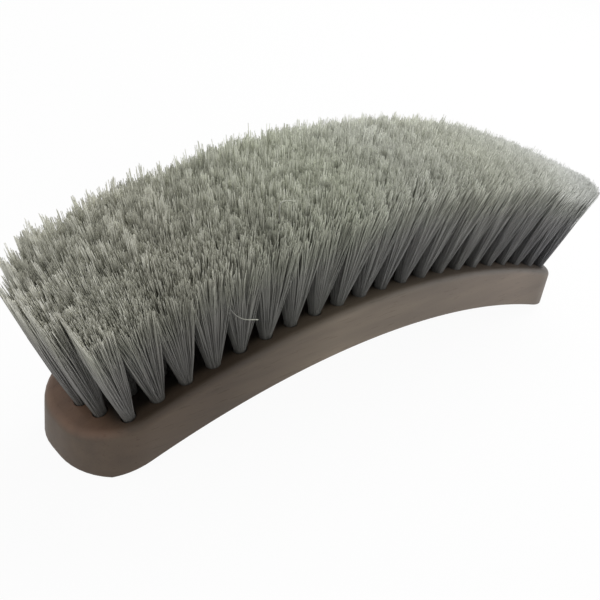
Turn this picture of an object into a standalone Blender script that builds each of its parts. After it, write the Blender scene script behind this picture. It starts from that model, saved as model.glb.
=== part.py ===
"""Shoe shine brush: an arched wooden block that carries crosswise rows of bristle tufts.

Units are metres, +Z is up, X runs along the brush and Y across it. The origin lies on the
surface that the block's two feet stand on, midway between them, with the bristles up.
"""

import math
import random

import bmesh
import bpy
from mathutils import Vector
from mathutils.geometry import delaunay_2d_cdt

# Wooden block
BLOCK_LENGTH = 0.180
BLOCK_WIDTH = 0.035
BLOCK_THICKNESS = 0.0134
FACE_RADIUS = 0.240
BACK_RADIUS = 0.240
END_CORNER_RADIUS = 0.0154
FACE_EDGE_RADIUS = 0.0020
BACK_EDGE_RADIUS = 0.0009
FOOT_LENGTH = 0.0067

# Tuft pattern, with the lengths and widths of wood left bare at the ends and sides
ROW_COUNT = 21
TUFTS_PER_ROW = 5
BARE_END = 0.0100
BARE_SIDE = 0.0049
END_ROW_BOW = 0.0053

# Bristles
BRISTLE_LENGTH = 0.0370
END_TRIM = 0.0034
END_ROW_LEAN = math.radians(24.0)
OUTER_TUFT_LEAN = math.radians(10.0)
STRAND_BASE_WIDTH = 0.0014
STRAND_TIP_WIDTH = 0.0016
STRAND_GAP = 0.0005
TIP_SPREAD = 0.0026
TIP_UNEVENNESS = 0.0013
TIP_SEED = 7

# Each row's slice of backing and the blind slot that it sits in
SLICE_WIDTH = 0.0052
SLICE_DEPTH = 0.0040
SLOT_CLEARANCE = 0.0003
CUTTER_RISE = 0.0030

# Mesh resolution
BLOCK_STRAIGHT_STEPS = 28
CORNER_STEPS_TO_FOOT = 4
CORNER_STEPS_PAST_FOOT = 5
FACE_EDGE_STEPS = 3
BACK_EDGE_STEPS = 2
SLICE_END_STEPS = 4
MERGE_DISTANCE = 1e-7
TRIANGLES_INSIDE = 1

# Values that follow from the sizes above
HALF_LENGTH = BLOCK_LENGTH / 2
HALF_WIDTH = BLOCK_WIDTH / 2
FOOT_START = HALF_LENGTH - FOOT_LENGTH
ROW_PITCH = (BLOCK_LENGTH - 2 * BARE_END) / (ROW_COUNT - 1)
OUTER_TUFT_Y = HALF_WIDTH - BARE_SIDE
TUFT_PITCH = 2 * OUTER_TUFT_Y / (TUFTS_PER_ROW - 1)
HALF_SLICE = SLICE_WIDTH / 2

WOOD_COLOUR = (0.130, 0.105, 0.085, 1.0)
BRISTLE_COLOUR = (0.400, 0.405, 0.365, 1.0)


def arc_drop(radius, x):
    """How far an arc whose crown is at x = 0 has fallen at x."""
    return radius - math.sqrt(radius * radius - x * x)


ARCH_HEIGHT = arc_drop(BACK_RADIUS, FOOT_START)
FACE_CROWN = ARCH_HEIGHT + BLOCK_THICKNESS


def back_height(x):
    """Height of the block's hollow back, which ends in a flat foot at each end."""
    return ARCH_HEIGHT - arc_drop(BACK_RADIUS, min(abs(x), FOOT_START))


def face_height(x):
    """Height of the bristle face, which arches the same way."""
    return FACE_CROWN - arc_drop(FACE_RADIUS, x)


def on_face(along, across, above=0.0):
    """Point over the bristle face, from the distance along its arc, across it and above it."""
    angle = along / FACE_RADIUS
    reach = FACE_RADIUS + above
    return Vector((reach * math.sin(angle), across, FACE_CROWN - FACE_RADIUS + reach * math.cos(angle)))


def clear_scene():
    for old in list(bpy.data.objects):
        bpy.data.objects.remove(old, do_unlink=True)


def make_material(name, colour, roughness):
    material = bpy.data.materials.new(name)
    material.use_nodes = True
    shader = material.node_tree.nodes["Principled BSDF"]
    shader.inputs["Base Color"].default_value = colour
    shader.inputs["Roughness"].default_value = roughness
    shader.inputs["Metallic"].default_value = 0.0
    material.diffuse_color = colour
    return material


def add_object(name, bm, materials):
    mesh = bpy.data.meshes.new(name)
    bm.to_mesh(mesh)
    bm.free()
    made = bpy.data.objects.new(name, mesh)
    for material in materials:
        mesh.materials.append(material)
    bpy.context.scene.collection.objects.link(made)
    return made


# The block's outline seen from above

def half_outline(inset):
    """Stations (x, half width) from the left end to the right, the outline drawn in by inset."""
    corner_x = HALF_LENGTH - END_CORNER_RADIUS
    corner_y = HALF_WIDTH - END_CORNER_RADIUS
    radius = END_CORNER_RADIUS - inset
    foot_angle = math.asin(min(1.0, (FOOT_START - corner_x) / radius))
    angles = [foot_angle * k / CORNER_STEPS_TO_FOOT for k in range(CORNER_STEPS_TO_FOOT)]
    rest = math.pi / 2 - foot_angle
    angles += [foot_angle + rest * k / CORNER_STEPS_PAST_FOOT for k in range(CORNER_STEPS_PAST_FOOT + 1)]
    right = [(corner_x + radius * math.sin(a), corner_y + radius * math.cos(a)) for a in angles]
    straight = []
    for k in range(1, BLOCK_STRAIGHT_STEPS):
        straight.append((corner_x * (2 * k / BLOCK_STRAIGHT_STEPS - 1), HALF_WIDTH - inset))
    left = [(-x, y) for x, y in reversed(right)]
    return left + straight + right


def edge_profile(radius, steps):
    """Rounded edge as (inset, depth) from the flat surface round to the side wall."""
    turns = [math.pi / 2 * k / steps for k in range(steps + 1)]
    return [(radius * (1 - math.sin(t)), radius * (1 - math.cos(t))) for t in turns]


def block_ring(bm, inset, height_at):
    """Closed ring of vertices, the near side from left to right and then back along the far side."""
    stations = half_outline(inset)
    near = [bm.verts.new((x, -y, height_at(x))) for x, y in stations]
    far = [bm.verts.new((x, y, height_at(x))) for x, y in reversed(stations)]
    return near + far


def join_rings(bm, lower, upper):
    for k in range(len(lower)):
        after = (k + 1) % len(lower)
        bm.faces.new((lower[k], lower[after], upper[after], upper[k]))


def cap_ring(bm, ring, facing_up):
    """Strips across the block from each near vertex to the far one at the same station."""
    last = len(ring) - 1
    for k in range(len(ring) // 2 - 1):
        strip = (ring[k], ring[k + 1], ring[last - k - 1], ring[last - k])
        bm.faces.new(strip if facing_up else strip[::-1])


def block_body():
    bm = bmesh.new()
    rings = []
    for inset, depth in edge_profile(BACK_EDGE_RADIUS, BACK_EDGE_STEPS):
        rings.append(block_ring(bm, inset, lambda x, d=depth: back_height(x) + d))
    for inset, depth in reversed(edge_profile(FACE_EDGE_RADIUS, FACE_EDGE_STEPS)):
        rings.append(block_ring(bm, inset, lambda x, d=depth: face_height(x) - d))
    for lower, upper in zip(rings, rings[1:]):
        join_rings(bm, lower, upper)
    cap_ring(bm, rings[0], facing_up=False)
    cap_ring(bm, rings[-1], facing_up=True)
    return bm


# One crosswise row of tufts

def row_position(row):
    """Signed place of a row: -1 at the left end of the pattern, 0 in the middle, 1 at the right."""
    middle = (ROW_COUNT - 1) / 2
    return (row - middle) / middle


def row_bow(row, across):
    """Rows bend outward in the middle, more towards the ends, to follow the block's rounded ends."""
    share = 1 - (across / OUTER_TUFT_Y) ** 2
    return END_ROW_BOW * row_position(row) * max(share, 0.0)


def row_along(row, across):
    middle = (ROW_COUNT - 1) / 2
    return (row - middle) * ROW_PITCH + row_bow(row, across)


def row_outline(row, grow):
    """Outline (along, across) of a row's slice: a slot with round ends, widened by grow."""
    half = HALF_SLICE + grow
    seams = [(j - (TUFTS_PER_ROW - 2) / 2) * TUFT_PITCH for j in range(TUFTS_PER_ROW - 1)]
    outline = [(row_along(row, y) + half, y) for y in seams]
    outline += round_end(row, half, 1)
    outline += [(row_along(row, y) - half, y) for y in reversed(seams)]
    outline += round_end(row, half, -1)
    return outline


def round_end(row, half, side):
    """The half circle that closes a slice round its outer tuft, on the far side (1) or near side (-1)."""
    centre = row_along(row, OUTER_TUFT_Y)
    points = []
    for k in range(SLICE_END_STEPS + 1):
        turn = math.pi * k / SLICE_END_STEPS
        points.append((centre + side * half * math.cos(turn), side * (OUTER_TUFT_Y + half * math.sin(turn))))
    return points


def lean_direction(row, across):
    """Direction of a tuft: rows fan out along the brush, and outer tufts lean to the sides."""
    lean = END_ROW_LEAN * row_position(row)
    side_slope = math.tan(OUTER_TUFT_LEAN) * across / OUTER_TUFT_Y
    return Vector((math.sin(lean), side_slope, math.cos(lean))).normalized()


def trimmed_length(row):
    """The head is trimmed lower towards both ends."""
    return BRISTLE_LENGTH - END_TRIM * row_position(row) ** 2


def square(row, offset, across, width):
    """Corners (along, across) of a strand's section, offset from its row's middle line."""
    half = width / 2
    corners = ((half, -half), (half, half), (-half, half), (-half, -half))
    return [(row_along(row, across + dy) + offset + da, across + dy) for da, dy in corners]


def strand_shapes(row):
    """For each strand of a row, its root square on the face and its tip square in space.

    Rows at equal distances from the middle share their uneven lengths, so the brush balances.
    """
    outward = 1 if row_position(row) > 0 else -1
    uneven = random.Random(TIP_SEED + abs(2 * row - (ROW_COUNT - 1)))
    root_offset = (STRAND_BASE_WIDTH + STRAND_GAP) / 2
    strands = []
    for tuft in range(TUFTS_PER_ROW):
        across = tuft * TUFT_PITCH - OUTER_TUFT_Y
        direction = lean_direction(row, across)
        for step_x, step_y in ((1, 1), (-1, 1), (-1, -1), (1, -1)):
            root = square(row, outward * step_x * root_offset, across + step_y * root_offset, STRAND_BASE_WIDTH)
            tip = square(row, outward * step_x * TIP_SPREAD, across + step_y * TIP_SPREAD, STRAND_TIP_WIDTH)
            carry = direction * (trimmed_length(row) + uneven.uniform(-TIP_UNEVENNESS, TIP_UNEVENNESS))
            strands.append((root, [on_face(*corner) + carry for corner in tip]))
    return strands


def fill_between(loops):
    """Triangles that fill the first loop round the holes that the others leave, by point number."""
    points = [Vector(point) for loop in loops for point in loop]
    owner = [number for number, loop in enumerate(loops) for point in loop]
    edges = []
    for loop in loops:
        start = len(edges)
        edges += [(start + k, start + (k + 1) % len(loop)) for k in range(len(loop))]
    filled = delaunay_2d_cdt(points, edges, [], TRIANGLES_INSIDE, MERGE_DISTANCE)
    faces, sources = filled[2], filled[3]
    triangles = [[sources[k][0] for k in face] for face in faces]
    return [t for t in triangles if owner[t[0]] == 0 or len({owner[k] for k in t}) > 1]


def bristle_row(row):
    """A slice of backing with its strands standing on it, as one closed body."""
    bm = bmesh.new()
    outline = row_outline(row, 0.0)
    strands = strand_shapes(row)
    loops = [outline] + [root for root, tip in strands]
    top = [bm.verts.new(on_face(along, across)) for loop in loops for along, across in loop]
    for corners in fill_between(loops):
        bm.faces.new([top[k] for k in corners])
    count = len(outline)
    floor = [bm.verts.new(on_face(along, across, -SLICE_DEPTH)) for along, across in outline]
    for k in range(count):
        after = (k + 1) % count
        bm.faces.new((floor[k], floor[after], top[after], top[k]))
    bm.faces.new(floor[::-1])
    wood_faces = len(bm.faces)
    for index, (root, tip) in enumerate(strands):
        start = count + 4 * index
        add_strand(bm, top[start:start + 4], tip)
    bm.faces.ensure_lookup_table()
    for face in bm.faces[:wood_faces]:
        face.material_index = 1
    return bm


def add_strand(bm, root, tip_points):
    """Four tapering sides and a cut end."""
    tip = [bm.verts.new(point) for point in tip_points]
    for k in range(4):
        after = (k + 1) % 4
        bm.faces.new((root[k], root[after], tip[after], tip[k]))
    bm.faces.new(tip)


def slot_cutter():
    """One prism for each row, larger than its slice by the clearance and open above the face."""
    bm = bmesh.new()
    for row in range(ROW_COUNT):
        outline = row_outline(row, SLOT_CLEARANCE)
        count = len(outline)
        low = [bm.verts.new(on_face(a, y, -SLICE_DEPTH - SLOT_CLEARANCE)) for a, y in outline]
        high = [bm.verts.new(on_face(a, y, CUTTER_RISE)) for a, y in outline]
        for k in range(count):
            after = (k + 1) % count
            bm.faces.new((low[k], low[after], high[after], high[k]))
        bm.faces.new(low[::-1])
        bm.faces.new(high)
    bmesh.ops.triangulate(bm, faces=bm.faces[:])
    return bm


def build():
    clear_scene()
    wood = make_material("stained_wood", WOOD_COLOUR, 0.55)
    bristle = make_material("natural_bristle", BRISTLE_COLOUR, 0.65)

    cutter = add_object("slot_cutter", slot_cutter(), [])
    cutter.hide_render = True
    cutter.display_type = "WIRE"

    block = add_object("wood_block", block_body(), [wood])
    slots = block.modifiers.new("tuft_slots", "BOOLEAN")
    slots.operation = "DIFFERENCE"
    slots.solver = "EXACT"
    slots.object = cutter

    for row in range(ROW_COUNT):
        add_object(f"bristle_row_{row + 1:02d}", bristle_row(row), [bristle, wood])


build()
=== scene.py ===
# %% [markdown]
# # A shoe shine brush
#
# The brush is an arched block of stained hardwood with a full head of light grey bristle.
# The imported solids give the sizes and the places. This script gives the looks: a block with
# real drilled holes, and about ninety thousand separate hairs bunched in tufts. A furry picture
# on a plain shape would be quicker, but the tufts show against the white, so they are real.

import math

import bmesh
import bpy
import numpy as np
from mathutils import Matrix, Vector


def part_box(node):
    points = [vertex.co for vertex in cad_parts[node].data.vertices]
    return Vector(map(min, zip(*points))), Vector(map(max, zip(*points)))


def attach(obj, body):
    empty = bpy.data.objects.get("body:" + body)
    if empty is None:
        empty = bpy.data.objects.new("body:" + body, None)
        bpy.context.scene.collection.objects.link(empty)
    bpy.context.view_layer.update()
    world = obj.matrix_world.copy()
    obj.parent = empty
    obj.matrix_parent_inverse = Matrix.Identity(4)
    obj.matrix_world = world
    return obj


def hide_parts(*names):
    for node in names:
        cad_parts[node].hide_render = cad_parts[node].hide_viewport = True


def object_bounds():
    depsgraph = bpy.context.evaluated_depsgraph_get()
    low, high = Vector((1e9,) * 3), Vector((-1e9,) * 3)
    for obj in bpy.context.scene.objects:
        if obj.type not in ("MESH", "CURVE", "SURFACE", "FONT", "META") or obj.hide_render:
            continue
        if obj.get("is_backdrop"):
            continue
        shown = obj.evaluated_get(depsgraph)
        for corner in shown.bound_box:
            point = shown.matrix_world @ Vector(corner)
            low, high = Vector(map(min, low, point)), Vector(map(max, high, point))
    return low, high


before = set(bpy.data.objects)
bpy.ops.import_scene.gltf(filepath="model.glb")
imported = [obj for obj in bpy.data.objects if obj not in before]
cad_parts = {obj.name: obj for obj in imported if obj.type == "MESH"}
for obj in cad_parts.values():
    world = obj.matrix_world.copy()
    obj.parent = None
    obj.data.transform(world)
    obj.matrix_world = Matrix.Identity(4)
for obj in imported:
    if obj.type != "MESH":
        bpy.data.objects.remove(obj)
CAD_BOX = [list(corner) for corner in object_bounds()]
ROW_NODES = sorted(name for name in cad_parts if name.startswith("bristle_row"))
print("packed nodes:", len(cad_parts), "of which bristle rows:", len(ROW_NODES))

# %% [markdown]
# ## The block's sizes
#
# The block's length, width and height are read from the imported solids, so that what is made here
# sits where they sit. They could be typed in again, but then the two might drift apart.
# Everything is in metres. X runs along the brush, Y runs across it from the near side to the far
# side, and Z runs up through the bristles. The bristle face is part of a large circle.

# %% Sizes
HALF_LENGTH, HALF_WIDTH, FACE_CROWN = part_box("wood_block")[1]
FACE_RADIUS = 0.240
print("block in mm:", [round(1000 * size, 1) for size in (2 * HALF_LENGTH, 2 * HALF_WIDTH, FACE_CROWN)])

# %% [markdown]
# ## Where the tufts stand
#
# The maker drills the face in crosswise rows of five holes, 8 mm apart. The rows bow outward
# towards the block's rounded ends. A list of 105 measured places would do as well, but a rule is
# shorter and keeps the rows even. The face is an arc, so a place on it is a distance along the
# arc and a distance across.

# %% Rows of tufts
ROW_COUNT = len(ROW_NODES)
MIDDLE_ROW = (ROW_COUNT - 1) / 2
ROW_PITCH = 0.0080
TUFTS_PER_ROW = 5
TUFT_PITCH = 0.0063
OUTER_TUFT_Y = TUFT_PITCH * (TUFTS_PER_ROW - 1) / 2
END_ROW_BOW = 0.0053


def face_point(along, across):
    """The point on the bristle face at a distance along it and a distance across."""
    angle = along / FACE_RADIUS
    height = FACE_CROWN - FACE_RADIUS + FACE_RADIUS * np.cos(angle)
    return np.array((FACE_RADIUS * np.sin(angle), across, height))


def row_position(row):
    """-1 at the left end of the pattern, 0 in the middle, 1 at the right end."""
    return (row - MIDDLE_ROW) / MIDDLE_ROW


def row_along(row, across):
    """How far along the face a row runs, at a distance across."""
    bow = END_ROW_BOW * row_position(row) * max(1 - (across / OUTER_TUFT_Y) ** 2, 0.0)
    return (row - MIDDLE_ROW) * ROW_PITCH + bow


print("rows:", ROW_COUNT, "from", [round(row_along(row, 0.0), 4) for row in (0, ROW_COUNT - 1)])

# %% [markdown]
# ## Values that change along the brush
#
# Use has worn the two ends differently, so many values depend on how far a row lies to the left
# or to the right. Three small helpers say that in words, in place of the same sum each time.

# %% Left and right
def to_left(row):
    """0 at the middle row and to the right of it, growing to 1 at the left end."""
    return max(-row_position(row), 0.0)


def to_right(row):
    """0 at the middle row and to the left of it, growing to 1 at the right end."""
    return max(row_position(row), 0.0)


def for_row(row, ends):
    """A row's value, where it changes evenly from the left end's to the right end's."""
    return np.interp(row_position(row), (-1, 1), ends)


print("first row:", to_left(0), "to the left; last row:", to_right(ROW_COUNT - 1), "to the right")

# %% [markdown]
# ## How the tufts lean
#
# The rows fan out lengthwise and the outer tufts lean to the sides, which makes the head of the
# brush wider than the wood. Use has combed the left end further outward, but less at its near
# side, and it has pushed the far side back in. Every tuft also leans a little its own way, except
# in the end rows, whose tips draw the outline. The leans could be drawn freely, but a seed for
# each row gives the same brush each time.

# %% Tuft places
END_ROW_LEAN = math.radians(22.0)
SWEEP = math.radians(1.2)  # the whole head leans a little to the left
NEAR_SWEEP = math.radians(2.8)  # the near side more so, and the far side to the right
LEFT_COMB = math.radians(4.0)  # how far use has combed the left end outward
LEFT_COMB_POWER = 5
FAR_HOLD = 1.9  # above 1, the outermost far tufts are pushed back in
NEAR_HOLD = 0.5
OUTER_TUFT_LEAN = math.radians(7.0)
RIGHT_CALM = 0.55  # the share of the splay, and of the side trim, that the right end lacks
NEAR_COMB = math.radians(0.5)
TUFT_WANDER = math.radians(1.3)
WANDER_SEED = 38
EDGE_POWER = 8  # a high power acts on the last rows alone


def tuft_axis(row, across):
    """The direction of a tuft, before it wanders."""
    side = across / OUTER_TUFT_Y
    lean = END_ROW_LEAN * row_position(row) + NEAR_SWEEP * side - SWEEP
    comb = 1 - (FAR_HOLD if side > 0 else NEAR_HOLD) * abs(side)
    lean -= LEFT_COMB * comb * to_left(row) ** LEFT_COMB_POWER
    splay = OUTER_TUFT_LEAN * side * (1 - RIGHT_CALM * to_right(row) ** 2)
    splay -= NEAR_COMB * (1 - side) / 2 * to_left(row) ** 2
    return np.array(Vector((math.sin(lean), math.tan(splay), math.cos(lean))).normalized())


def tuft_places(row):
    """(along, across, axis) of each tuft in a row."""
    most = TUFT_WANDER * (1 - abs(row_position(row)) ** EDGE_POWER)
    wander = np.random.default_rng(WANDER_SEED + row).uniform(-most, most, (TUFTS_PER_ROW, 2))
    places = []
    for tuft in range(TUFTS_PER_ROW):
        across = tuft * TUFT_PITCH - OUTER_TUFT_Y
        axis = tuft_axis(row, across) + (*wander[tuft], 0.0)
        places.append((row_along(row, across), across, axis / np.linalg.norm(axis)))
    return places


print("tufts:", sum(len(tuft_places(row)) for row in range(ROW_COUNT)))

# %% [markdown]
# ## The camera
#
# The photograph was taken from close by, above the near left end, with the camera tipped a
# little to one side. A Track To constraint could aim a camera at the brush, but it keeps the
# camera level, so three angles turn it here.

# %% Camera
CAMERA_PLACE = (-0.1678, -0.1508, FACE_CROWN + 0.1194)
CAMERA_YAW = math.radians(45.03)
CAMERA_PITCH = math.radians(30.56)
CAMERA_ROLL = math.radians(9.07)
CAMERA_CLIP = 0.01
SENSOR_WIDTH = 36.0
FOCAL_PIXELS = 902.0
FRAME_PIXELS = 600.0


def add_object(name, data):
    """Puts a mesh, a lamp or a camera into the scene."""
    made = bpy.data.objects.new(name, data)
    bpy.context.scene.collection.objects.link(made)
    return made


def camera_turn():
    """The camera's own axes: right, up and backwards."""
    ahead = Vector((
        math.cos(CAMERA_PITCH) * math.cos(CAMERA_YAW),
        math.cos(CAMERA_PITCH) * math.sin(CAMERA_YAW),
        -math.sin(CAMERA_PITCH),
    ))
    level_right = Vector((math.sin(CAMERA_YAW), -math.cos(CAMERA_YAW), 0.0))
    level_up = level_right.cross(ahead)
    right = math.cos(CAMERA_ROLL) * level_right + math.sin(CAMERA_ROLL) * level_up
    up = -math.sin(CAMERA_ROLL) * level_right + math.cos(CAMERA_ROLL) * level_up
    return Matrix((right, up, -ahead)).transposed()


def add_camera():
    data = bpy.data.cameras.new("camera")
    data.sensor_width = SENSOR_WIDTH
    data.lens = FOCAL_PIXELS / FRAME_PIXELS * SENSOR_WIDTH
    data.clip_start = CAMERA_CLIP
    made = add_object("camera", data)
    made.matrix_world = Matrix.Translation(CAMERA_PLACE) @ camera_turn().to_4x4()
    return made


camera = add_camera()
bpy.context.scene.camera = camera
print("camera at", [round(v, 3) for v in camera.location], "lens", round(camera.data.lens, 1), "mm")

# %% [markdown]
# ## Writing shader maths as expressions
#
# A node tree could be built link by link, but it is easier to read when it is written as sums.
# This small class wraps a socket, so that `1 - mask` or `mask * 0.4` adds the Math node it needs.

# %% Values
class Value:
    """A node's output socket that takes part in Python expressions."""

    def __init__(self, nodes, socket):
        self.nodes = nodes
        self.socket = socket

    def math(self, operation, *inputs):
        return self.nodes.node("ShaderNodeMath", {"operation": operation}, dict(enumerate(inputs)))

    def __add__(self, other):
        return self.math("ADD", self, other)

    def __radd__(self, other):
        return self.math("ADD", other, self)

    def __sub__(self, other):
        return self.math("SUBTRACT", self, other)

    def __rsub__(self, other):
        return self.math("SUBTRACT", other, self)

    def __mul__(self, other):
        return self.math("MULTIPLY", self, other)

    def __rmul__(self, other):
        return self.math("MULTIPLY", other, self)

    def floor(self):
        return self.math("FLOOR", self)

    def magnitude(self):
        return self.math("ABSOLUTE", self)

    def larger(self, other):
        return self.math("MAXIMUM", self, other)

    def between(self, low, high):
        """0 below low, 1 above high and a smooth step from one to the other."""
        settings = {"interpolation_type": "SMOOTHSTEP"}
        inputs = {0: self, 1: low, 2: high, 3: 0.0, 4: 1.0}
        return self.nodes.node("ShaderNodeMapRange", settings, inputs)


print("values ready")

# %% [markdown]
# ## Node trees
#
# Materials and the world are trees of nodes. They could be drawn in the Shader Editor, but then
# a script couldn't repeat them. One method adds any node: its settings come first, because they
# decide which sockets it has, and then numbers, colours or links fill its sockets.

# %% Node trees
class Nodes:
    """A node tree, and the one method that adds a node to it."""

    def __init__(self, tree):
        self.tree = tree

    def node(self, kind, settings=None, inputs=None, output=0):
        """Adds a node, sets its settings, fills its sockets and gives one of its outputs."""
        made = self.tree.nodes.new(kind)
        for name, value in (settings or {}).items():
            if name == "stops":
                self.set_stops(made.color_ramp, value)
            else:
                setattr(made, name, value)
        for key, value in (inputs or {}).items():
            self.feed(made.inputs[key], value)
        return Value(self, made.outputs[output])

    def feed(self, socket, value):
        """Links a value to a socket, or sets the socket's own number or colour."""
        if isinstance(value, Value):
            self.tree.links.new(value.socket, socket)
        else:
            socket.default_value = value

    def set_stops(self, ramp, stops):
        while len(ramp.elements) < len(stops):
            ramp.elements.new(1.0)
        for element, (place, colour) in zip(ramp.elements, stops):
            element.position = place
            element.color = (*colour, 1.0)


print("node trees ready")

# %% [markdown]
# ## Materials
#
# A material is a node tree with a Principled shader, which can be wood, hair or anything else.
# Colours are mixed and multiplied by Mix nodes, since a Math node would turn them grey. The tone
# of this brush changes along its length, so one method makes a colour ramp along the brush.

# %% Materials
ALONG_REACH = 0.100


class Shader(Nodes):
    """A material's node tree, with one Principled shader."""

    def __init__(self, name):
        self.material = bpy.data.materials.new(name)
        self.material.use_nodes = True
        super().__init__(self.material.node_tree)
        self.principled = self.tree.nodes["Principled BSDF"]

    def surface(self, **inputs):
        """Sets the Principled shader's sockets, such as Base_Color."""
        for name, value in inputs.items():
            self.feed(self.principled.inputs[name.replace("_", " ")], value)

    def part(self, vector, axis):
        """One number of a vector: its X, Y or Z."""
        return self.node("ShaderNodeSeparateXYZ", inputs={0: vector}, output=axis)

    def mix(self, factor, first, second, blend="MIX"):
        """Mixes two colours."""
        settings = {"data_type": "RGBA", "blend_type": blend}
        return self.node("ShaderNodeMix", settings, {0: factor, 6: first, 7: second}, output=2)

    def tinted(self, colour, tint):
        """A colour times another."""
        return self.mix(1.0, colour, tint, "MULTIPLY")

    def colour(self, red, green, blue):
        """A colour from three numbers."""
        return self.node("ShaderNodeCombineColor", inputs={0: red, 1: green, 2: blue})

    def ramp(self, value, stops):
        """A colour that changes with a value, from stops of (value, colour)."""
        return self.node("ShaderNodeValToRGB", {"stops": stops}, {0: value})

    def along_brush(self, x, stops):
        """A colour that changes along the brush, from stops of (metres from the middle, colour)."""
        places = [(0.5 + 0.5 * along / ALONG_REACH, colour) for along, colour in stops]
        return self.ramp(x * (0.5 / ALONG_REACH) + 0.5, places)


print("ramps along the brush reach", ALONG_REACH, "m to each side of the middle")

# %% [markdown]
# ## White paper
#
# The brush was photographed on plain white. Strong lamps could bleach the floor, but they would
# bleach the brush too. So the floor gives light of its own, and the world is brighter, only for
# rays that come from the camera, a mirror-like surface or glass. The floor then reads as white
# paper, and it still takes a soft shadow.

# %% Floor and world
WHITE = (1.0, 1.0, 1.0, 1.0)
PAPER_RAYS = ("Is Camera Ray", "Is Glossy Ray", "Is Transmission Ray")
FLOOR_HALF_SIZE = 3.0
FLOOR_COLOUR = (0.86, 0.86, 0.86, 1.0)
PAPER_WHITE = 0.95
WORLD_STRENGTH = 0.42


def seen_directly(nodes):
    """1 for the rays that see the paper, and 0 for the light that falls on things."""
    rays = [nodes.node("ShaderNodeLightPath", output=name) for name in PAPER_RAYS]
    return rays[0].larger(rays[1]).larger(rays[2])


def mesh_object(name, bm):
    """Turns an edited mesh into an object."""
    mesh = bpy.data.meshes.new(name)
    bm.to_mesh(mesh)
    bm.free()
    return add_object(name, mesh)


def paper_material():
    shader = Shader("white_floor")
    shader.surface(Base_Color=FLOOR_COLOUR, Roughness=1.0, Specular_IOR_Level=0.0)
    matt = Value(shader, shader.principled.outputs[0])
    white = shader.node("ShaderNodeEmission", inputs={"Color": WHITE, "Strength": 1.0})
    share = seen_directly(shader) * PAPER_WHITE
    paper = shader.node("ShaderNodeMixShader", inputs={0: share, 1: matt, 2: white})
    shader.feed(shader.tree.nodes["Material Output"].inputs["Surface"], paper)
    return shader.material


def add_floor():
    bm = bmesh.new()
    bmesh.ops.create_grid(bm, x_segments=1, y_segments=1, size=FLOOR_HALF_SIZE)
    floor = mesh_object("floor", bm)
    floor.data.materials.append(paper_material())
    floor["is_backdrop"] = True


def light_world():
    world = bpy.data.worlds.new("white_world")
    bpy.context.scene.world = world
    world.use_nodes = True
    nodes = Nodes(world.node_tree)
    background = nodes.tree.nodes["Background"]
    nodes.feed(background.inputs["Color"], WHITE)
    extra = seen_directly(nodes) * (1.0 - WORLD_STRENGTH)
    nodes.feed(background.inputs["Strength"], extra + WORLD_STRENGTH)


add_floor()
light_world()
bpy.context.scene.view_settings.view_transform = "Standard"
print("floor and world ready")

# %% [markdown]
# ## Lamps
#
# A broad key lamp stands high beyond the right end, so the tips are lighter than the sides. Two
# low and weak lamps lighten the shade: one on the near side, and one at the left end. A single
# lamp with a brighter world would do, but it would flatten the tufts.

# %% Lamps
KEY_PLACE = (0.43, 0.16, 0.57)
KEY_ENERGY = 3.45
KEY_SIZE = 0.5
FILL_PLACE = (0.26, -0.18, 0.06)
FILL_ENERGY = 0.57
FILL_SIZE = 0.32
END_FILL_PLACE = (-0.33, -0.07, 0.03)
END_FILL_ENERGY = 0.20


def add_lamp(name, place, energy, size):
    """A soft square lamp aimed at the brush, which the camera doesn't see."""
    data = bpy.data.lights.new(name, "AREA")
    data.energy = energy
    data.size = size
    lamp = add_object(name, data)
    lamp.location = place
    lamp.rotation_euler = (-Vector(place)).to_track_quat("-Z", "Y").to_euler()
    lamp.visible_camera = False
    print(name, "gives", energy, "W")


add_lamp("key_lamp", KEY_PLACE, KEY_ENERGY, KEY_SIZE)
add_lamp("fill_lamp", FILL_PLACE, FILL_ENERGY, FILL_SIZE)
add_lamp("end_fill_lamp", END_FILL_PLACE, END_FILL_ENERGY, FILL_SIZE)

# %% [markdown]
# ## The arch of the block
#
# The block was sawn to an arch that stands on two short flat feet. Its outline from above is a
# straight bar with round ends. A bent and bevelled cube would come close, but its feet and ends
# would be hard to place. So the heights and the outline are worked out as the saw cuts them.

# %% Block heights and outline
BLOCK_THICKNESS = 0.0134
ARCH_HEIGHT = FACE_CROWN - BLOCK_THICKNESS
BACK_RADIUS = 0.240
FOOT_LENGTH = 0.0067
FOOT_START = HALF_LENGTH - FOOT_LENGTH
END_CORNER_RADIUS = 0.0154
STRAIGHT_STEPS = 90
CORNER_STEPS = 14


def arc_drop(radius, x):
    """How far an arc has dropped below its crown."""
    return radius - math.sqrt(radius * radius - x * x)


def back_height(x):
    return ARCH_HEIGHT - arc_drop(BACK_RADIUS, min(abs(x), FOOT_START))


def face_height(x):
    return FACE_CROWN - arc_drop(FACE_RADIUS, x)


def half_outline(inset):
    """Stations (x, half width) from left to right, with one where each foot starts."""
    corner_x = HALF_LENGTH - END_CORNER_RADIUS
    corner_y = HALF_WIDTH - END_CORNER_RADIUS
    radius = END_CORNER_RADIUS - inset
    foot_angle = math.asin((FOOT_START - corner_x) / radius)
    to_foot = np.linspace(0.0, foot_angle, CORNER_STEPS // 2, endpoint=False)
    past_foot = np.linspace(foot_angle, math.pi / 2, CORNER_STEPS - CORNER_STEPS // 2 + 1)
    right = []
    for angle in (*to_foot, *past_foot):
        right.append((corner_x + radius * math.sin(angle), corner_y + radius * math.cos(angle)))
    straight = np.linspace(-corner_x, corner_x, STRAIGHT_STEPS + 1)[1:-1]
    middle = [(x, HALF_WIDTH - inset) for x in straight]
    return [(-x, y) for x, y in reversed(right)] + middle + right


print("stations:", len(half_outline(0.0)))

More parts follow.
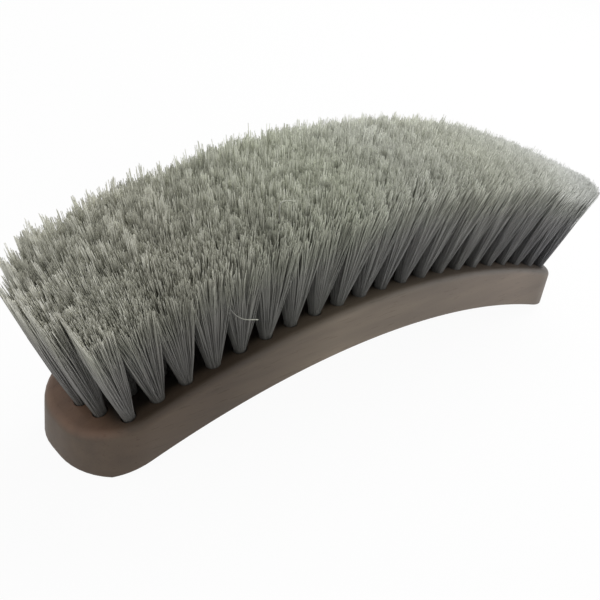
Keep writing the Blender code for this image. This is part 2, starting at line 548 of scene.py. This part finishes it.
# %% [markdown]
# ## The rounded edges
#
# A router has rounded the edges of the real block. A Bevel modifier could do that, but it is
# uneven where the feet and the round ends meet. Here the mesh is a stack of rings that follow
# the outline, and the rings next to the back and the face are each drawn in a little.

# %% Block mesh
FACE_EDGE_RADIUS = 0.0020
BACK_EDGE_RADIUS = 0.0009
EDGE_STEPS = 6


def rounded_edge(radius):
    """(inset, depth) from the flat surface round to the side wall."""
    turns = [math.pi / 2 * k / EDGE_STEPS for k in range(EDGE_STEPS + 1)]
    return [(radius * (1 - math.sin(t)), radius * (1 - math.cos(t))) for t in turns]


def block_rings(bm):
    """Rings of points from the back up to the face."""
    back = [(inset, back_height, depth) for inset, depth in rounded_edge(BACK_EDGE_RADIUS)]
    face = [(inset, face_height, -depth) for inset, depth in rounded_edge(FACE_EDGE_RADIUS)]
    rings = []
    for inset, height_at, shift in back + face[::-1]:
        stations = half_outline(inset)
        near = [bm.verts.new((x, -y, height_at(x) + shift)) for x, y in stations]
        far = [bm.verts.new((x, y, height_at(x) + shift)) for x, y in reversed(stations)]
        rings.append(near + far)
    return rings


def block_mesh():
    """Walls between the rings, and crosswise strips over the face and the back."""
    bm = bmesh.new()
    rings = block_rings(bm)
    count = len(rings[0])
    for lower, upper in zip(rings, rings[1:]):
        for k in range(count):
            after = (k + 1) % count
            bm.faces.new((lower[k], lower[after], upper[after], upper[k]))
    for k in range(count // 2 - 1):
        corners = (k, k + 1, count - k - 2, count - k - 1)
        bm.faces.new([rings[-1][c] for c in corners])
        bm.faces.new([rings[0][c] for c in reversed(corners)])
    return bm


block = mesh_object("drilled_block", block_mesh())
print("block faces before drilling:", len(block.data.polygons))

# %% [markdown]
# ## Drilled holes
#
# Each tuft sits in a blind hole of its own, drilled along the way it leans. A dark disc on the
# wood would hide under most tufts, but the rims show at the end rows. A Boolean cuts the holes,
# because it takes wood away as a drill does.

# %% Drill the holes
HOLE_RADIUS = 0.00190
DRILL_DEPTH = 0.0070
DRILL_RISE = 0.0030
DRILL_SIDES = 28
SHARP_ANGLE = math.radians(40)


def drill_bits():
    """One cylinder for each tuft, along the tuft's own lean."""
    bm = bmesh.new()
    for row in range(ROW_COUNT):
        for along, across, axis in tuft_places(row):
            direction = Vector(axis)
            middle = Vector(face_point(along, across)) + direction * (DRILL_RISE - DRILL_DEPTH) / 2
            turn = direction.to_track_quat("Z", "Y").to_matrix().to_4x4()
            bmesh.ops.create_cone(
                bm, cap_ends=True, segments=DRILL_SIDES, radius1=HOLE_RADIUS, radius2=HOLE_RADIUS,
                depth=DRILL_DEPTH + DRILL_RISE, matrix=Matrix.Translation(middle) @ turn,
            )
    return bm


def drill(block):
    bits = mesh_object("drill_bits", drill_bits())
    cut = block.modifiers.new("holes", "BOOLEAN")
    cut.operation = "DIFFERENCE"
    cut.solver = "EXACT"
    cut.object = bits
    graph = bpy.context.evaluated_depsgraph_get()
    finished = bpy.data.meshes.new_from_object(block.evaluated_get(graph))
    block.modifiers.clear()
    block.data = finished
    bpy.data.objects.remove(bits)
    finished.shade_smooth()
    finished.set_sharp_from_angle(angle=SHARP_ANGLE)


drill(block)
print("block faces:", len(block.data.polygons))

# %% [markdown]
# ## Stained hardwood
#
# The wood is a close-grained hardwood under a thin grey-brown stain. Grain runs along the block.
# Waves could draw it in even lines, but stretched noise wanders as real grain does. A slow noise
# changes the tone, and a fine one leaves short dark pores.

# %% Grain and pores
GRAIN_STRETCH = (14.0, 150.0, 150.0)
GRAIN_SCALE = 1.6
GRAIN_DETAIL = 6.0
GRAIN_SHARE = 0.7
SLOW_SCALE = 24.0
PORE_STRETCH = (160.0, 2200.0, 2200.0)
PORE_SCALE = 1.0
PORE_LEVELS = (0.60, 0.72)
PLAIN_DETAIL = 2.0


def noise(shader, place, scale, detail, stretch=None):
    """Noise from 0 to 1, stretched where its scale differs from axis to axis."""
    if stretch:
        place = shader.node("ShaderNodeMapping", inputs={0: place, 3: stretch})
    return shader.node("ShaderNodeTexNoise", inputs={"Vector": place, "Scale": scale, "Detail": detail})


def grain_and_pores(shader, place):
    """The fine grain, the wood's tone with its slow change, and the pores."""
    grain = noise(shader, place, GRAIN_SCALE, GRAIN_DETAIL, GRAIN_STRETCH)
    slow = noise(shader, place, SLOW_SCALE, PLAIN_DETAIL)
    pores = noise(shader, place, PORE_SCALE, PLAIN_DETAIL, PORE_STRETCH)
    tone = grain * GRAIN_SHARE + slow * (1 - GRAIN_SHARE)
    return grain, tone, pores.between(*PORE_LEVELS)


print("grain is", GRAIN_STRETCH[1] / GRAIN_STRETCH[0], "times as long as wide")

# %% [markdown]
# ## Stain and painted shade
#
# The stain took unevenly, so its tone changes along the block, and the same ramp paints shade on
# the wood: darker towards the left end and at the round right end. The bare face beyond the last
# row at the left is lighter and warmer. On the bristle face the margin beside the tufts is darker
# with painted shadow from the overhanging bristles, and painted shade makes the space between the
# tufts nearly black. This could be painted on by hand, but masks from the place on the block need
# no picture.

# %% Wood tints
# Uneven stain, and painted shade: darker towards the left end and at the round right end.
STAIN_AND_SHADE_ALONG = [
    (-0.078, (0.62, 0.54, 0.46)),
    (-0.055, (0.50, 0.44, 0.37)),
    (-0.018, (1.16, 1.16, 1.09)),
    (0.018, (0.88, 0.87, 0.84)),
    (0.062, (1.02, 0.99, 0.98)),
    (0.089, (0.62, 0.61, 0.60)),
]
# Painted shadow of the overhanging bristles on the margin of the face, deeper towards the right.
MARGIN_SHADOW_ALONG = [
    (-0.080, (0.68, 0.66, 0.63)),
    (0.000, (0.62, 0.61, 0.58)),
    (0.040, (0.52, 0.51, 0.49)),
    (0.080, (0.40, 0.39, 0.38)),
]
END_ROW_EDGE = (-0.0860, -0.0790)
BARE_END_TINT = (1.66, 1.38, 1.31, 1.0)
# Painted shade, nearly black, on the face between the tufts, inside these sides and ends.
GAP_SHADE_TINT = (0.16, 0.15, 0.14, 1.0)
SHADE_GAP_SIDES = (0.0112, 0.0134)
SHADE_GAP_ENDS = (0.0795, 0.0825)
# Where the face tint and its painted shade are laid: from edges turned a little up to the face.
FACE_NORMALS = (0.05, 0.75)


def face_tint_and_shade(shader, x, y):
    """The tint of the bristle face: bare at the left end, then the margin in painted shadow, and
    painted shade between the tufts inside it.
    """
    # Painted shadow of the bristles on the margin.
    margin = shader.along_brush(x, MARGIN_SHADOW_ALONG)
    tint = shader.mix(x.between(*END_ROW_EDGE), BARE_END_TINT, margin)
    # Painted shade fills the face between the tufts.
    between_tufts = (1 - x.magnitude().between(*SHADE_GAP_ENDS)) * (1 - y.magnitude().between(*SHADE_GAP_SIDES))
    return shader.mix(between_tufts, tint, GAP_SHADE_TINT)


print("stain stops:", len(STAIN_AND_SHADE_ALONG), "and margin stops:", len(MARGIN_SHADOW_ALONG))

# %% [markdown]
# ## The wood's finish
#
# The stain is thin and matt, so the grain shows in the gloss as well as in the colour. The face
# tint, with its painted shadow and shade, is laid only where the surface looks up, and it fades
# out over the rounded edge, where it also dims the edge's highlight as painted shade. A second
# material for the face would do that too, but it would leave a hard line round the edge.

# %% Wood finish
WOOD_DARK = (0.104, 0.080, 0.060)
WOOD_TONES = [(0.30, WOOD_DARK), (0.50, (0.146, 0.115, 0.088)), (0.72, (0.182, 0.146, 0.113))]
PORE_DARKNESS = 0.45
WOOD_ROUGHNESS = 0.52
GRAIN_ROUGHNESS = 0.12
PORE_ROUGHNESS = 0.10
GRAIN_HEIGHT = 0.4
BUMP_STRENGTH = 0.25
BUMP_DISTANCE = 0.0002


def wood_material():
    shader = Shader("stained_hardwood")
    place = shader.node("ShaderNodeTexCoord", output="Object")
    x, y = [shader.part(place, axis) for axis in "XY"]
    up = shader.part(shader.node("ShaderNodeNewGeometry", output="Normal"), "Z")
    grain, tone, pores = grain_and_pores(shader, place)
    colour = shader.mix(pores * PORE_DARKNESS, shader.ramp(tone, WOOD_TONES), (*WOOD_DARK, 1.0))
    # Uneven stain, and painted shade towards the left end and at the round right end.
    colour = shader.tinted(colour, shader.along_brush(x, STAIN_AND_SHADE_ALONG))
    on_face = shader.tinted(colour, face_tint_and_shade(shader, x, y))
    # Painted shadow and shade on the upward face, fading out over the rounded edge.
    colour = shader.mix(up.between(*FACE_NORMALS), colour, on_face)
    rough = WOOD_ROUGHNESS + GRAIN_ROUGHNESS * grain + PORE_ROUGHNESS * pores
    height = grain * GRAIN_HEIGHT - pores
    inputs = {"Strength": BUMP_STRENGTH, "Distance": BUMP_DISTANCE, "Height": height}
    bump = shader.node("ShaderNodeBump", inputs=inputs)
    shader.surface(Base_Color=colour, Roughness=rough, Normal=bump)
    return shader.material


block.data.materials.clear()
block.data.materials.append(wood_material())
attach(block, "root")
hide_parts("wood_block")
print("wood on", block.name)

# %% [markdown]
# ## How a tuft spreads
#
# Each tuft is a bundle folded into its hole, so its hairs leave the wood side by side and then
# spread. They cling together in small locks, which gives the head its speckled look, and here
# and there a lock stands up as a wisp. A particle system could grow the hairs, but plain arrays
# let one rule place them all. The near side and the last row at the left are a little calmer than
# the rest, and in the end rows the outward half of each tuft is pressed in.

# %% Hairs and locks
HAIRS_PER_TUFT = 850
LOCKS_PER_TUFT = 150
WISP_SHARE = 0.14
ROOT_SPREAD = 0.00165
FULLNESS = (0.84, 1.06)  # how well tufts fill their holes, from the least to the most
TIP_SPREAD = 0.0058
TIP_SCATTER = 0.0004
LOCK_PULL = 0.60
NEAR_CALM = 0.55
LEFT_CALM = 0.20
END_HOLDS = (0.88, 0.66)  # at the left end and at the right end
END_HOLD_POWER = 12


def to_disc(square):
    """Turns places in a square into places in a disc, without bunching them up."""
    x, y = square[:, 0], square[:, 1]
    return np.stack([x * np.sqrt(1 - y * y / 2), y * np.sqrt(1 - x * x / 2)], axis=1)


def looseness(row, across):
    """1 for a tuft that keeps all its unevenness, and less for the calmer ones."""
    loose = 1 - NEAR_CALM * max(-across / OUTER_TUFT_Y, 0.0) ** 2
    return loose - LEFT_CALM * to_left(row) ** EDGE_POWER


def tuft_spread(random, row, across):
    """Each hair's place at the root and at the tip, its lock, and which locks are wisps."""
    places = random.uniform(-1, 1, (HAIRS_PER_TUFT, 2))
    locks = random.uniform(-1, 1, (LOCKS_PER_TUFT, 2))
    lock = np.linalg.norm(places[:, None] - locks[None], axis=2).argmin(axis=1)
    wisps = random.random(LOCKS_PER_TUFT) < WISP_SHARE
    pull = LOCK_PULL * looseness(row, across)
    tips = (places + pull * (locks[lock] - places)) * TIP_SPREAD
    tips = tips + random.normal(0.0, TIP_SCATTER, tips.shape)
    roots = to_disc(places) * ROOT_SPREAD * random.uniform(*FULLNESS)
    outward = tips[:, 0] * row_position(row) > 0
    tips[outward, 0] *= 1 - for_row(row, END_HOLDS) * abs(row_position(row)) ** END_HOLD_POWER
    return roots, tips, lock, wisps


print("hairs in a lock:", round(HAIRS_PER_TUFT / LOCKS_PER_TUFT, 1))

# %% [markdown]
# ## How long the hairs are
#
# The head was trimmed a little lower towards its ends and its sides, and use has worn it on. Locks
# differ in length, most at the left end, and wisps stand out above them. A few rows at the left
# are worn lower at their far side. A Boolean could trim the hairs with a curved surface, but a sum
# for each hair is quicker and leaves whole tips.

# %% Hair lengths
BRISTLE_LENGTH = 0.0366
END_TRIM = 0.0034
WORN_END = 0.0025
SIDE_TRIM = 0.0060
SIDE_TRIM_POWER = 4
NEAR_KEEP = 0.8
NEAR_KEEP_POWER = 4
LENGTH_SPREAD = 0.0005
LOCK_LENGTH_SPREAD = 0.0012
MOST_UNEVEN = 1.6
WISP_EXTRA = 0.0014
RUFFLE = (1.75, 0.25)  # at the left end and at the right end
CORNER_RISE = 0.0022  # the right end is longer at the near side and shorter at the far side
CORNER_POWER = 8
FAR_DIPS = {  # row: how much shorter it is at the far side
    1: 0.0020, 2: 0.0008, 3: 0.0004, 4: 0.0024, 5: 0.0012,
}


def ruffle(row, across):
    """How much the locks of a tuft differ, in length and in shade."""
    return looseness(row, across) * for_row(row, RUFFLE)


def row_length(row):
    """The length of a hair in the middle of a row."""
    place = row_position(row)
    return BRISTLE_LENGTH - END_TRIM * place * place - WORN_END * place


def side_trim(row, side):
    """How much shorter the hairs are towards the sides, at a place from -1, near, to 1, far."""
    kept = RIGHT_CALM * to_right(row) ** 2
    kept = kept + NEAR_KEEP * (side < 0) * to_left(row) ** NEAR_KEEP_POWER
    return SIDE_TRIM * (1 - kept) * side ** SIDE_TRIM_POWER


def hair_lengths(random, row, across, tips, lock, wisps):
    side = (across + tips[:, 1]) / (OUTER_TUFT_Y + TIP_SPREAD)
    lengths = row_length(row) - side_trim(row, side)
    lengths = lengths + random.normal(0.0, LENGTH_SPREAD, HAIRS_PER_TUFT)
    uneven = np.clip(random.normal(0.0, 1.0, LOCKS_PER_TUFT), -MOST_UNEVEN, MOST_UNEVEN)
    lengths -= CORNER_RISE * to_right(row) ** CORNER_POWER * side
    lengths += ruffle(row, across) * (uneven * LOCK_LENGTH_SPREAD + WISP_EXTRA * wisps)[lock]
    return lengths - FAR_DIPS.get(row, 0.0) * np.maximum(side, 0.0) ** 2


print("end rows in mm:", [round(1000 * row_length(row), 1) for row in (0, ROW_COUNT - 1)])

# %% [markdown]
# ## The line of each hair
#
# A hair starts near the bottom of its hole, runs straight out of it, spreads and bends gently.
# A curve with many points would bend more smoothly, but five rings are enough for so slight a
# bend, and they keep the mesh light.

# %% Hair lines
ROOT_DEPTH = 0.0068
BEND = 0.0006
FLARE_POWERS = (0.98, 1.40)
RING_STEPS = np.array([-ROOT_DEPTH / BRISTLE_LENGTH, 0.02, 0.32, 0.65, 1.0])
RING_HEIGHTS = np.maximum(RING_STEPS, 0.0)
RING_THICKNESS = np.array([0.00011, 0.00011, 0.00011, 0.00010, 0.00008])


def side_axes(axis):
    """Two directions square to the tuft: one along the brush and one across it."""
    across = np.cross(axis, (1.0, 0.0, 0.0))
    across /= np.linalg.norm(across)
    return np.stack([np.cross(across, axis), across])


def hair_lines(random, row, foot, axis, roots, tips, lengths):
    """The centre lines, as (hair, ring, xyz)."""
    bend = np.clip(random.normal(0.0, BEND, (HAIRS_PER_TUFT, 2)), -BEND, BEND)
    heights = RING_HEIGHTS[None, :, None]
    flare = heights ** for_row(row, FLARE_POWERS)
    spread = roots[:, None] + (tips - roots)[:, None] * flare
    spread = spread + bend[:, None] * np.sin(math.pi * heights)
    rise = lengths[:, None, None] * RING_STEPS[None, :, None]
    return foot + rise * axis + spread @ side_axes(axis)


print("rings in a hair:", len(RING_STEPS))

# %% [markdown]
# ## Light and dark hairs
#
# Real bristle is a mix of lighter and darker hairs. Every hair gets a shade from 0 to 1, with
# much in common inside a lock and a little inside a tuft. Wisps are paler, partly as painted
# highlights on tips that catch the light. A material for each shade would need dozens of slots,
# so the shade is kept as a number of the hair.

# %% Hair shades
# The hairs darken towards the left end as painted shade.
END_SHADES = (0.38, 0.46)
HAIR_SHADES = 0.05
LOCK_SHADES = 0.10
# Wisps are paler, partly as painted highlights on tips that catch the light.
WISP_SHADE = 0.30
TUFT_SHADES = 0.08
PALEST = 0.999


def hair_shades(random, row, across, lock, wisps):
    shades = for_row(row, END_SHADES) + random.normal(0.0, HAIR_SHADES, HAIRS_PER_TUFT)
    paler = WISP_SHADE * ruffle(row, across) * wisps
    shades += (random.normal(0.0, LOCK_SHADES, LOCKS_PER_TUFT) + paler)[lock]
    shades += random.uniform(-TUFT_SHADES, TUFT_SHADES)
    return np.clip(shades, 0.0, PALEST)


def tuft_hairs(random, row, along, across, axis):
    """The centre lines and the shades of a tuft's hairs."""
    roots, tips, lock, wisps = tuft_spread(random, row, across)
    lengths = hair_lengths(random, row, across, tips, lock, wisps)
    lines = hair_lines(random, row, face_point(along, across), axis, roots, tips, lengths)
    return lines, hair_shades(random, row, across, lock, wisps)


print("shades spread by", HAIR_SHADES, "in a lock and by", LOCK_SHADES, "from lock to lock")

# %% [markdown]
# ## From lines to a mesh
#
# Every hair is a thin three-sided strand, closed at both ends. Bevelled curves would give the
# same shape, but ninety thousand of them are slow, so arrays work out all the points of a row at
# once: a small triangle round each ring of each hair.

# %% Hair points and faces
HAIR_SIDES = 3


def hair_vertices(lines, thickness):
    """A small triangle of points round every ring of every hair."""
    ahead = np.gradient(lines, axis=1)
    ahead /= np.linalg.norm(ahead, axis=2, keepdims=True)
    first = np.cross(ahead, (0.0, 1.0, 0.0))
    first /= np.linalg.norm(first, axis=2, keepdims=True)
    second = np.cross(ahead, first)
    turn = (2 * math.pi * np.arange(HAIR_SIDES) / HAIR_SIDES)[:, None]
    ring = np.cos(turn) * first[:, :, None] + np.sin(turn) * second[:, :, None]
    return lines[:, :, None] + ring * thickness[None, :, None, None]


def hair_faces(rings):
    """Corners of one hair's faces: its sides from root to tip, then its two ends."""
    faces = []
    for ring in range(rings - 1):
        low, high = ring * HAIR_SIDES, (ring + 1) * HAIR_SIDES
        for side in range(HAIR_SIDES):
            after = (side + 1) % HAIR_SIDES
            faces.append((low + side, low + after, high + after, high + side))
    last = (rings - 1) * HAIR_SIDES
    return faces + [(2, 1, 0), (last, last + 1, last + 2)]


print("faces in a hair:", len(hair_faces(len(RING_STEPS))))

# %% [markdown]
# ## One mesh for many hairs
#
# The material has to know each hair's shade and how far along it a point lies. Colour attributes
# could carry both, but a UV map also serves a baked picture. Across the map lie the shades in
# columns, and up it runs the height along the hair. The three corners of a ring keep a little
# apart in their column, so that no face is without a place of its own.

# %% Hair mesh
MAP_NAME = "OFBake"
SHADE_COLUMNS = 48
CORNER_ACROSS = np.array([0.2, 0.8, 0.5])
CORNER_LIFT = np.array([0.0, 0.0, 0.01])
MAP_LOW = 0.01
MAP_REACH = 0.96


def shade_map(shades, heights):
    """Each point's place in the map: across is its hair's shade column, up is its height."""
    across = np.floor(shades * SHADE_COLUMNS)[:, None, None] + CORNER_ACROSS
    up = heights[:, None] * MAP_REACH + MAP_LOW + CORNER_LIFT
    return np.stack(np.broadcast_arrays(across / SHADE_COLUMNS, up), axis=3).reshape(-1, 2)


def hair_object(name, lines, shades, heights, thickness):
    """One mesh of many hairs."""
    count, rings = lines.shape[:2]
    faces = hair_faces(rings)
    sizes = np.tile([len(face) for face in faces], count)
    first_points = HAIR_SIDES * rings * np.arange(count)
    corners = (first_points[:, None] + np.concatenate(faces)).ravel()
    mesh = bpy.data.meshes.new(name)
    mesh.vertices.add(count * rings * HAIR_SIDES)
    mesh.vertices.foreach_set("co", hair_vertices(lines, thickness).ravel())
    mesh.loops.add(len(corners))
    mesh.loops.foreach_set("vertex_index", corners)
    mesh.polygons.add(len(sizes))
    mesh.polygons.foreach_set("loop_start", np.cumsum(sizes) - sizes)
    mesh.update(calc_edges=True)
    mesh.shade_smooth()
    layer = mesh.uv_layers.new(name=MAP_NAME)
    layer.data.foreach_set("uv", shade_map(shades, heights)[corners].ravel())
    return add_object(name, mesh)


print("shade columns:", SHADE_COLUMNS)

# %% [markdown]
# ## The hair's colour
#
# The hair is light grey with a faint green and yellow cast, darker towards the root, partly as
# painted shade at the foot of the tufts, and palest at the cut tip. Painted light takes the tip's
# pale tones further down at the far side and at the right end. Lighter and darker hairs differ
# most near their tips. Blender's hair shader could be used, but it is made for shiny live hair,
# and this is dry and cut.

# %% Hair tones
# Darker towards the root, partly painted shade at the foot of the tufts.
HAIR_TONES = [
    (0.00, (0.140, 0.139, 0.131)),
    (0.35, (0.212, 0.210, 0.201)),
    (0.62, (0.305, 0.306, 0.282)),
    (0.87, (0.455, 0.466, 0.395)),
    (0.98, (0.820, 0.835, 0.725)),
]
# Painted light: the tip's pale tones reach further down at the far side and at the right end.
FAR_PAINTED_LIGHT = 0.09
FAR_SIDES = (0.009, 0.017)
RIGHT_PAINTED_LIGHT = 0.10
RIGHT_ENDS = (0.045, 0.085)
LOW_SHADE = 0.40
LOW_CONTRAST = 0.25
CONTRAST_HEIGHTS = (0.50, 0.95)
DARKEST_HAIR = (0.60, 0.56)
SHADE_LIFT = (0.80, 0.84)


def hair_tone(shader, x, y, height):
    """The colour from root to tip, with the tip's pale tones further down where light is painted."""
    lit_height = height + FAR_PAINTED_LIGHT * y.between(*FAR_SIDES) + RIGHT_PAINTED_LIGHT * x.between(*RIGHT_ENDS)
    return shader.ramp(lit_height, HAIR_TONES)


def shade_tint(shader, column, height):
    """The tint of a hair's shade: near the root all hairs are more alike."""
    shade = (column * SHADE_COLUMNS).floor() * (1.0 / SHADE_COLUMNS)
    contrast = LOW_CONTRAST + (1 - LOW_CONTRAST) * height.between(*CONTRAST_HEIGHTS)
    shade = LOW_SHADE + (shade - LOW_SHADE) * contrast
    lift, blue = [low + gain * shade for low, gain in zip(DARKEST_HAIR, SHADE_LIFT)]
    return shader.colour(lift, lift, blue)


print("tones from root to tip:", len(HAIR_TONES))

# %% [markdown]
# ## Painted shade and light in the hair
#
# The hair's tone also changes a little along the brush. Low down inside the head the colour is
# darker, as painted shade, and low down at the left end the shafts are lighter, as painted light.
# Shadows alone would leave the depth too light, so the colour itself is darker there.

# %% Hair finish
HAIR_ALONG = [
    (-0.098, (1.07, 1.04, 1.09)),
    (-0.086, (0.93, 0.91, 0.93)),
    (-0.070, (0.87, 0.85, 0.86)),
    (-0.045, (0.89, 0.89, 0.89)),
    (-0.025, (0.93, 0.94, 0.93)),
    (0.000, (0.93, 0.93, 0.97)),
    (0.030, (0.91, 0.91, 0.93)),
    (0.060, (0.84, 0.84, 0.90)),
    (0.085, (0.82, 0.82, 0.92)),
]
# Painted shade deep inside the head, and painted light on the low shafts at the left end.
DEEP_SHADE = 0.30
DEEP_HEIGHTS = (0.40, 0.88)
OUTER_SIDES = (0.0062, 0.0098)
OUTER_ENDS = (0.0700, 0.0800)
LEFT_PAINTED_LIGHT = 0.24
LEFT_ENDS = (-0.088, -0.070)
HAIR_ROUGHNESS = 0.62
HAIR_SPECULAR = 0.25


def painted_shade_and_light(shader, x, y, height):
    """Painted shade low down inside the head, and painted light low down at the left end."""
    inside = (1 - x.magnitude().between(*OUTER_ENDS)) * (1 - y.magnitude().between(*OUTER_SIDES))
    lighter = LEFT_PAINTED_LIGHT * (1 - x.between(*LEFT_ENDS))
    low_down = 1 - height.between(*DEEP_HEIGHTS)
    lit = 1 + (lighter - (1 - DEEP_SHADE) * inside) * low_down
    return shader.colour(lit, lit, lit)


def hair_material():
    shader = Shader("grey_hair")
    map_place = shader.node("ShaderNodeUVMap", {"uv_map": MAP_NAME})
    column, height = [shader.part(map_place, axis) for axis in "XY"]
    place = shader.node("ShaderNodeTexCoord", output="Object")
    x, y = [shader.part(place, axis) for axis in "XY"]
    colour = hair_tone(shader, x, y, height)
    colour = shader.tinted(colour, shade_tint(shader, column, height))
    colour = shader.tinted(colour, shader.along_brush(x, HAIR_ALONG))
    colour = shader.tinted(colour, painted_shade_and_light(shader, x, y, height))
    shader.surface(Base_Color=colour, Roughness=HAIR_ROUGHNESS, Specular_IOR_Level=HAIR_SPECULAR)
    return shader.material


hair_finish = hair_material()
print("hair finish:", hair_finish.name)

# %% [markdown]
# ## Planting the rows
#
# Each row of solids is replaced by one mesh with the hairs of its five tufts. One mesh for the
# whole head would be as good to look at, but a piece for each row keeps the parts as they are
# made. A seed for each row gives the same hairs each time.

# %% Hair rows
SEED = 20

hair_count = 0
for row, node in enumerate(ROW_NODES):
    random = np.random.default_rng(SEED + row)
    tufts = [tuft_hairs(random, row, *place) for place in tuft_places(row)]
    lines, shades = [np.concatenate(parts) for parts in zip(*tufts)]
    name = node.replace("bristle_row", "hair_row")
    piece = hair_object(name, lines, shades, RING_HEIGHTS, RING_THICKNESS)
    piece.data.materials.append(hair_finish)
    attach(piece, "root")
    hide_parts(node)
    hair_count += len(lines)
print("hairs:", hair_count)

# %% [markdown]
# ## Loose hairs
#
# Two hairs have sprung out of their tufts: one curls over the near side and one lies bent on
# top. They could be drawn as curves, but the helpers for the tufts already make hairs from lines.
# Each is a smooth curve through five points, a little thicker than the rest so that it shows.

# %% Loose hair curves
LOOSE_HAIRS = [
    [
        (-0.0584, -0.0195, 0.0429),
        (-0.0577, -0.0205, 0.0413),
        (-0.0558, -0.0208, 0.0396),
        (-0.0534, -0.0206, 0.0383),
        (-0.0496, -0.0200, 0.0368),
    ],
    [
        (-0.0452, -0.0175, 0.0596),
        (-0.0458, -0.0180, 0.0626),
        (-0.0456, -0.0178, 0.0646),
        (-0.0427, -0.0165, 0.0642),
        (-0.0390, -0.0152, 0.0628),
    ],
]
LOOSE_RINGS = 25
LOOSE_THICKNESS = 0.00013
LOOSE_SHADE = 0.62
LOOSE_HEIGHTS = (0.5, 1.0)


def smooth_curve(points):
    """LOOSE_RINGS points on a smooth curve through the given ones, one polynomial for each axis."""
    marks = np.linspace(0, 1, len(points))
    places = np.linspace(0, 1, LOOSE_RINGS)
    curves = [np.polyfit(marks, column, len(points) - 1) for column in np.array(points).T]
    return np.stack([np.polyval(curve, places) for curve in curves], axis=1)


loose = np.array([smooth_curve(points) for points in LOOSE_HAIRS])
piece = hair_object(
    "loose_hairs", loose, np.full(len(loose), LOOSE_SHADE),
    np.linspace(*LOOSE_HEIGHTS, LOOSE_RINGS), np.full(LOOSE_RINGS, LOOSE_THICKNESS),
)
piece.data.materials.append(hair_finish)
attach(piece, "root")
print("loose hairs:", len(loose))

# %% [markdown]
# ## The size of what is shown
#
# The looks may stand only a little proud of the imported solids. Blender could show both sizes in
# its side panel, but printing the two boxes shows them after every run.

# %% Sizes printed for comparison
SEEN_BOX = [list(corner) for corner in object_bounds()]
for name, box in (("packed", CAD_BOX), ("shown", SEEN_BOX)):
    print(name, [[round(1000 * v, 1) for v in corner] for corner in box], "mm")
